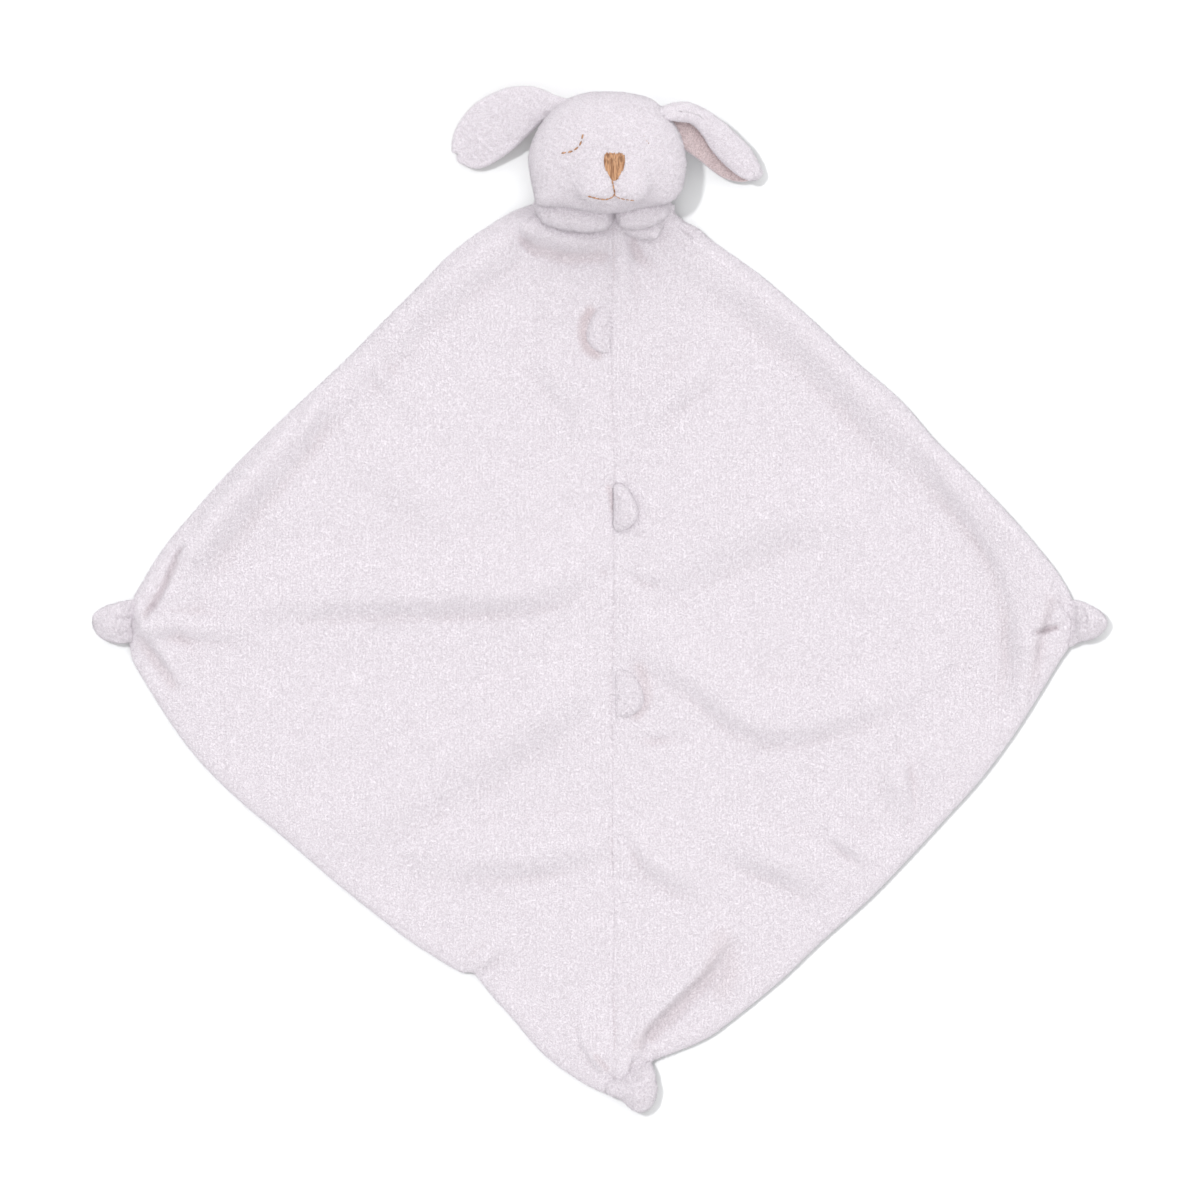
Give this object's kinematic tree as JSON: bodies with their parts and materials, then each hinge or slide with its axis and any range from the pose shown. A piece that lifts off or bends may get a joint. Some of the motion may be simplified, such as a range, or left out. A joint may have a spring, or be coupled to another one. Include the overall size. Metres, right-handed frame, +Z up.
{
  "type": "comfort blanket lovey",
  "caption": "Soft plush comfort blanket, diamond shaped, with a sleeping puppy's padded head at one corner, sewn tabs down the middle and a knotted nub at each other corner.",
  "frame": {"origin": "on the table under the centre seam, level with the ties of the two side corners, at the back panel's underside", "axes": "+X to the right-hand corner, +Y up the centre seam to the head, +Z up out of the table, towards the viewer of the face"},
  "size_m": [0.49, 0.4906, 0.0563],
  "materials": {
    "plush": "short curly pile, very pale pinkish grey",
    "ear_lining": "short pile in shade, dusty pink grey",
    "pale_thread": "matt sewing thread, colour of the cloth",
    "brown_thread": "caramel embroidery thread, soft sheen",
    "filling": "white fibre filling"
  },
  "bodies": {
    "blanket": {"back": "plush", "front_left": "plush", "front_right": "plush", "centre_seam_thread": "pale_thread", "edge_seam_thread": "pale_thread", "neck_roll_left": "plush", "neck_roll_right": "plush"},
    "head": {"head_front": "plush", "head_back": "plush", "head_stuffing": "filling", "head_seam_thread": "pale_thread", "neck_thread": "pale_thread", "neck_stub": "plush", "muzzle": "plush", "muzzle_stuffing": "filling", "nose": "brown_thread", "mouth_left": "brown_thread", "mouth_right": "brown_thread", "eye_left": "brown_thread", "eye_right": "brown_thread"},
    "ear_left": {"ear_left_outer": "plush", "ear_left_lining": "ear_lining"},
    "ear_right": {"ear_right_lining": "ear_lining", "ear_right_outer": "plush"},
    "upper_tab": {"tab_upper": "plush"},
    "middle_tab": {"tab_middle": "plush"},
    "lower_tab": {"tab_lower": "plush"},
    "left_corner": {"left_knob": "plush", "left_knob_wad": "filling", "left_tie": "pale_thread"},
    "right_corner": {"right_knob": "plush", "right_knob_wad": "filling", "right_tie": "pale_thread"},
    "bottom_corner": {"bottom_knob": "plush", "bottom_knob_wad": "filling", "bottom_tie": "pale_thread"}
  },
  "joints": [
    {"name": "head_nod", "type": "hinge", "parent": "blanket", "child": "head", "pos_m": [0, 0.19801, 0.014], "axis": [1, 0, 0], "range_deg": [-20, 65]},
    {"name": "ear_left_lift", "type": "hinge", "parent": "head", "child": "ear_left", "pos_m": [-0.0275, 0.24751, 0.027], "axis": [-0.458, 0.889, 0], "range_deg": [0, 100]},
    {"name": "ear_right_lift", "type": "hinge", "parent": "head", "child": "ear_right", "pos_m": [0.0285, 0.24251, 0.025], "axis": [-0.5803, -0.8144, 0], "range_deg": [0, 100]},
    {"name": "upper_tab_flip", "type": "hinge", "parent": "blanket", "child": "upper_tab", "pos_m": [0, 0.14059, 0.0073], "axis": [0, 1, 0], "range_deg": [0, 150]},
    {"name": "middle_tab_flip", "type": "hinge", "parent": "blanket", "child": "middle_tab", "pos_m": [0, 0.05498, 0.0075], "axis": [0, -1, 0], "range_deg": [-36, 115]},
    {"name": "lower_tab_flip", "type": "hinge", "parent": "blanket", "child": "lower_tab", "pos_m": [0, -0.0341, 0.0075], "axis": [0, -1, 0], "range_deg": [0, 150]},
    {"name": "left_corner_bend", "type": "hinge", "parent": "blanket", "child": "left_corner", "pos_m": [-0.232, 0, 0.0072], "axis": [0, 1, 0], "range_deg": [0, 75]},
    {"name": "right_corner_bend", "type": "hinge", "parent": "blanket", "child": "right_corner", "pos_m": [0.222, 0, 0.0072], "axis": [0, -1, 0], "range_deg": [0, 75]},
    {"name": "bottom_corner_bend", "type": "hinge", "parent": "blanket", "child": "bottom_corner", "pos_m": [0.0051, -0.21831, 0.0072], "axis": [-0.893, -0.45, 0], "range_deg": [0, 75]}
  ]
}
